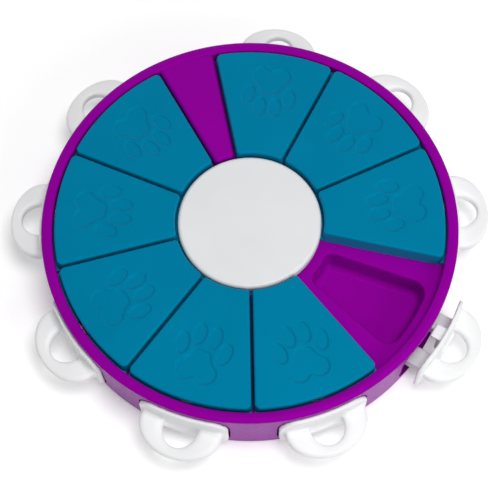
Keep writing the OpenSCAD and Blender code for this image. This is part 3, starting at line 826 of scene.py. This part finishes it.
# %% The base's wall
base_top, base_in, base_edge, top_edge = 18.3, rim_in + 0.4, 1.2, 0.3
inside_r, below, above = rim_in + 0.9, -5, 60
base_outline = ([(base_in, base_top), (base_in, base_foot), (base_r - base_edge, base_foot)]
                + round_corner(base_r - base_edge, base_foot + base_edge, base_edge, -90, 0, 6)
                + [(base_r, base_top - top_edge), (base_r - top_edge, base_top)])
base_wall = build("base_wall", [turned(base_outline, around)])
cut_for_handles(base_wall)
inside = place("base_inside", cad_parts["base"].data.copy())
carve(inside, [closed([at_height(circle(inside_r, 180), z) for z in (below, above)])], "INTERSECT")
for piece in (base_wall, inside):
    settle(piece)
    coat(piece.data, purple)
    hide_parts("base")
    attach(piece, "body")
print("faces in the base:", len(base_wall.data.polygons), "wall,", len(inside.data.polygons), "inside")

# %% [markdown]
# ## Centre cap
# The cap in the middle is plain and white, with one soft edge. It is turned too.

# %% Centre cap
cap_t, cap_edge, cap_foot_edge, at_axis = 2.8, 2.4, 0.2, 0.001
cap_outline = ([(at_axis, cap_top - cap_t), (cap_r - cap_t, cap_top - cap_t), (cap_r - cap_t, cap_foot),
                (cap_r - cap_foot_edge, cap_foot), (cap_r, cap_foot + cap_foot_edge)]
               + round_corner(cap_r - cap_edge, cap_top - cap_edge, cap_edge, 0, 90, 14)
               + [(r, cap_top) for r in (30, 15, at_axis)])
centre = build("plain_centre_cap", [turned(cap_outline, 256)])
settle(centre)
coat(centre.data, white)
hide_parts("centre_cap")
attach(centre, "body")
print("faces in the cap:", len(centre.data.polygons))

# %% [markdown]
# ## Finishes of the pieces kept from the solid model
# The screws and the feet keep their solids. The screws are plain zinc-plated steel,
# brushed by the thread roller, and the feet are black rubber.

# %% Screws and feet
mark_scale, dark_zinc, light_zinc = 900, (0.42, 0.42, 0.43), (0.66, 0.66, 0.65)


def brushed_steel():
    material, nodes, links = new_material("plated steel")
    shader = nodes["Principled BSDF"]
    shader.inputs["Metallic"].default_value = 1.0
    marks = noise(nodes, links, mark_scale, 2)
    links.new(two_tone(nodes, links, marks, dark_zinc, light_zinc), shader.inputs["Base Color"])
    links.new(spread(nodes, links, marks, 0.25, 0.5), shader.inputs["Roughness"])
    return material


rubber = moulded_plastic(
    "black rubber", colour=(0.035, 0.035, 0.036), deep_colour=(0.022, 0.022, 0.023),
    gloss=0.7, grain=0.6, specular=0.3)
steel = brushed_steel()
for node, finish in (("cap_screws", steel), ("base_screws", steel), ("feet", rubber)):
    coat(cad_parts[node].data, finish)
print("finishes set on the kept pieces")

# %% [markdown]
# ## Floor
# The toy stands on a white floor in a white room. The room's full white, and a fifth
# more white on the floor, are for the eye and for reflections only, so they don't
# light the toy any further. The floor's own matt white takes the toy's shadow.

# %% Floor
floor_half, floor_matt, floor_white = 3000, 0.95, 0.22


def seen_directly(nodes, links):
    """1 where the camera, a reflection or a clear piece looks at the surface, else 0."""
    path = nodes.new("ShaderNodeLightPath")
    value = path.outputs["Is Camera Ray"]
    for kind in ("Is Glossy Ray", "Is Transmission Ray"):
        either = nodes.new("ShaderNodeMath")
        either.operation = "MAXIMUM"
        links.new(value, either.inputs[0])
        links.new(path.outputs[kind], either.inputs[1])
        value = either.outputs["Value"]
    return value


def pale_floor():
    material, nodes, links = new_material("pale floor")
    nodes.clear()
    matt, white_light = nodes.new("ShaderNodeBsdfDiffuse"), nodes.new("ShaderNodeEmission")
    matt.inputs["Color"].default_value = (floor_matt, floor_matt, floor_matt, 1)
    strength = spread(nodes, links, seen_directly(nodes, links), 0, floor_white)
    links.new(strength, white_light.inputs["Strength"])
    both, out = nodes.new("ShaderNodeAddShader"), nodes.new("ShaderNodeOutputMaterial")
    links.new(matt.outputs["BSDF"], both.inputs[0])
    links.new(white_light.outputs["Emission"], both.inputs[1])
    links.new(both.outputs["Shader"], out.inputs["Surface"])
    return material


square = [(-1, -1), (1, -1), (1, 1), (-1, 1)]
floor = build("floor", [([(x * floor_half, y * floor_half, 0) for x, y in square], [[0, 1, 2, 3]])])
coat(floor.data, pale_floor())
print("floor laid")

# %% [markdown]
# ## Light
# One broad lamp hangs nearly overhead. A weaker one stands low at the front right: it
# keeps the side wall readable and lights one side of every step in the paw prints.

# %% Lamps
room_light, room_white = 0.37, 1.0


def lamp(name, stand_at, aim_at, size, watts):
    data = bpy.data.lights.new(name, "AREA")
    data.shape, data.size, data.energy = "DISK", size * MM, watts
    piece = place(name, data)
    piece.location = Vector(stand_at) * MM
    piece.rotation_euler = (Vector(aim_at) - Vector(stand_at)).to_track_quat("-Z", "Y").to_euler()


lamp("overhead lamp", stand_at=(230, -120, 1320), aim_at=(0, 0, 0), size=620, watts=9)
lamp("front lamp", stand_at=(620, -860, 640), aim_at=(0, 0, 20), size=600, watts=4)
world = bpy.data.worlds.new("white room")
world.use_nodes = True
nodes, links = world.node_tree.nodes, world.node_tree.links
room = nodes["Background"]
room.inputs["Color"].default_value = (1, 1, 1, 1)
strength = spread(nodes, links, seen_directly(nodes, links), room_light, room_white)
links.new(strength, room.inputs["Strength"])
bpy.context.scene.world = world
bpy.context.scene.view_settings.view_transform = "Standard"
print("lamps set")
